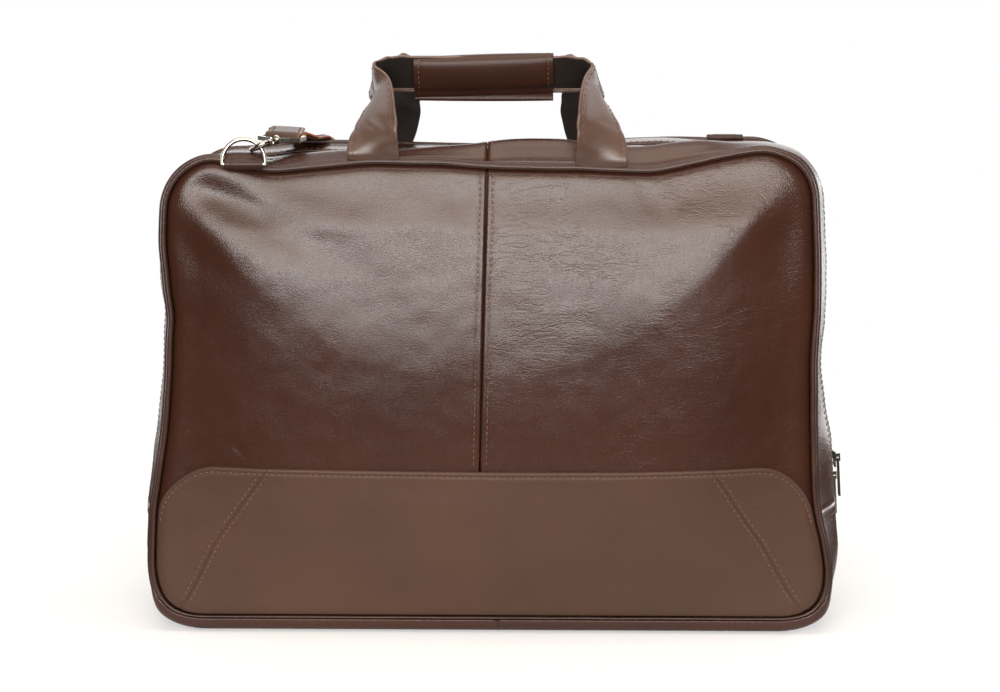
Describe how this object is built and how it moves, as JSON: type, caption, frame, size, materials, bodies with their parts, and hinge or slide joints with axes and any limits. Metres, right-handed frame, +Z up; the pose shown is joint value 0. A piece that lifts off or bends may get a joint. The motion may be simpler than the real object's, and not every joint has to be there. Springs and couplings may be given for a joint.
{
  "type": "laptop briefcase",
  "caption": "Soft leather laptop briefcase with two zipped compartments, folding covers, twin padded handles and a clip-on shoulder strap.",
  "frame": {"origin": "centre of the base where it rests on the floor", "axes": "+X along the long side to the right seen from the front, -Y towards the front, +Z up"},
  "size_m": [0.4727, 0.1402, 0.3855],
  "materials": {
    "panel_leather": "smooth aniline leather, soft gloss",
    "piping_leather": "smooth leather over cord",
    "handle_leather": "smooth leather, edge stitched",
    "strap_leather": "leather with raw cut edges",
    "lining_fabric": "woven lining over foam",
    "base_board": "matt",
    "zip_tape": "woven tape",
    "zip_teeth": "antique metal",
    "nickel": "polished nickel plate"
  },
  "bodies": {
    "bag_base": {"lower_gusset_left": "panel_leather", "lower_gusset_right": "panel_leather", "strip_feet": "panel_leather", "front_lower_panel": "panel_leather", "rear_lower_panel": "panel_leather", "overlay_centre": "panel_leather", "overlay_corner_left": "panel_leather", "overlay_corner_right": "panel_leather", "front_piping_lower": "piping_leather", "rear_piping_lower": "piping_leather", "bottom_board": "base_board", "divider_panel": "lining_fabric", "laptop_sleeve": "lining_fabric", "centre_strip_left": "panel_leather", "centre_strip_right": "panel_leather", "front_inner_tape": "zip_tape", "rear_inner_tape": "zip_tape", "front_inner_teeth": "zip_teeth", "rear_inner_teeth": "zip_teeth", "strap_top_run": "strap_leather"},
    "front_cover": {"front_panel_left": "panel_leather", "front_panel_right": "panel_leather", "front_strip_left": "panel_leather", "front_strip_right": "panel_leather", "front_piping_upper": "piping_leather", "front_lining": "lining_fabric", "front_outer_tape": "zip_tape", "front_outer_teeth": "zip_teeth", "front_ring_tab": "handle_leather"},
    "rear_cover": {"rear_panel": "panel_leather", "rear_strip_left": "panel_leather", "rear_strip_right": "panel_leather", "rear_piping_upper": "piping_leather", "rear_lining": "lining_fabric", "rear_outer_tape": "zip_tape", "rear_outer_teeth": "zip_teeth", "rear_ring_tab": "handle_leather", "strap_back_run": "strap_leather"},
    "front_handle": {"front_handle_strap": "handle_leather", "front_grip": "handle_leather"},
    "rear_handle": {"rear_handle_strap": "handle_leather", "rear_grip": "handle_leather"},
    "front_zip_slider": {"front_slider": "nickel"},
    "rear_zip_slider": {"rear_slider": "nickel"},
    "front_zip_pull": {"front_pull": "nickel"},
    "rear_zip_pull": {"rear_pull": "nickel"},
    "front_d_ring": {"front_ring": "nickel"},
    "rear_d_ring": {"rear_ring": "nickel"},
    "front_snap_hook": {"front_hook": "nickel"},
    "rear_snap_hook": {"rear_hook": "nickel"},
    "front_gate": {"front_hook_gate": "nickel"},
    "rear_gate": {"rear_hook_gate": "nickel"},
    "front_strap_eye": {"front_eye": "nickel", "front_strap_end": "strap_leather"},
    "rear_strap_eye": {"rear_eye": "nickel", "rear_strap_end": "strap_leather"},
    "buckle": {"strap_buckle": "nickel"}
  },
  "joints": [
    {"name": "front_cover_fold", "type": "hinge", "parent": "bag_base", "child": "front_cover", "pos_m": [0, -0.0658, 0.116], "axis": [1, 0, 0], "range_deg": [0, 45]},
    {"name": "rear_cover_fold", "type": "hinge", "parent": "bag_base", "child": "rear_cover", "pos_m": [0, 0.0658, 0.116], "axis": [-1, 0, 0], "range_deg": [0, 45]},
    {"name": "front_handle_tilt", "type": "hinge", "parent": "front_cover", "child": "front_handle", "pos_m": [0, -0.0539, 0.3221], "axis": [1, 0, 0], "range_deg": [0, 120]},
    {"name": "rear_handle_tilt", "type": "hinge", "parent": "rear_cover", "child": "rear_handle", "pos_m": [0, 0.0539, 0.3221], "axis": [-1, 0, 0], "range_deg": [0, 115]},
    {"name": "front_slider_run", "type": "slide", "parent": "bag_base", "child": "front_zip_slider", "axis": [-0.0651, 0, 0.9979], "range_m": [0, 0.155]},
    {"name": "rear_slider_run", "type": "slide", "parent": "bag_base", "child": "rear_zip_slider", "axis": [-0.0651, 0, 0.9979], "range_m": [0, 0.165]},
    {"name": "front_pull_swing", "type": "hinge", "parent": "front_zip_slider", "child": "front_zip_pull", "pos_m": [0.23422, -0.015, 0.11272], "axis": [0, -1, 0], "range_deg": [0, 140]},
    {"name": "rear_pull_swing", "type": "hinge", "parent": "rear_zip_slider", "child": "rear_zip_pull", "pos_m": [0.23552, 0.015, 0.09272], "axis": [0, -1, 0], "range_deg": [0, 140]},
    {"name": "front_ring_swing", "type": "hinge", "parent": "front_cover", "child": "front_d_ring", "pos_m": [-0.159, -0.0587, 0.31701], "axis": [1, 0, 0], "range_deg": [0, 120]},
    {"name": "rear_ring_swing", "type": "hinge", "parent": "rear_cover", "child": "rear_d_ring", "pos_m": [0.159, 0.0587, 0.31701], "axis": [1, 0, 0], "range_deg": [0, 100]},
    {"name": "front_hook_swing", "type": "hinge", "parent": "front_d_ring", "child": "front_snap_hook", "pos_m": [-0.149, -0.05579, 0.32866], "axis": [0, 0, 1], "range_deg": [-12, 12]},
    {"name": "rear_hook_swing", "type": "hinge", "parent": "rear_d_ring", "child": "rear_snap_hook", "pos_m": [0.159, 0.06685, 0.3029], "axis": [1, 0, 0], "range_deg": [0, 25]},
    {"name": "front_gate_press", "type": "hinge", "parent": "front_snap_hook", "child": "front_gate", "pos_m": [-0.14113, -0.04881, 0.3313], "axis": [0.4097, -0.1213, -0.9041], "range_deg": [0, 12], "stiffness_Nm_per_rad": 0.02},
    {"name": "rear_gate_press", "type": "hinge", "parent": "rear_snap_hook", "child": "rear_gate", "pos_m": [0.159, 0.06223, 0.29309], "axis": [-1, 0, 0], "range_deg": [0, 12], "stiffness_Nm_per_rad": 0.02},
    {"name": "front_eye_swivel", "type": "hinge", "parent": "front_snap_hook", "child": "front_strap_eye", "pos_m": [-0.14736, -0.05226, 0.32894], "axis": [0.4216, 0.9041, 0.0698], "range_deg": [-10, 10]},
    {"name": "rear_eye_swivel", "type": "hinge", "parent": "rear_snap_hook", "child": "rear_strap_eye", "pos_m": [0.159, 0.06685, 0.299], "axis": [0, 0, -1], "range_deg": [-15, 15]},
    {"name": "buckle_slide", "type": "slide", "parent": "rear_cover", "child": "buckle", "axis": [0, 0, 1], "range_m": [0, 0.018]}
  ]
}
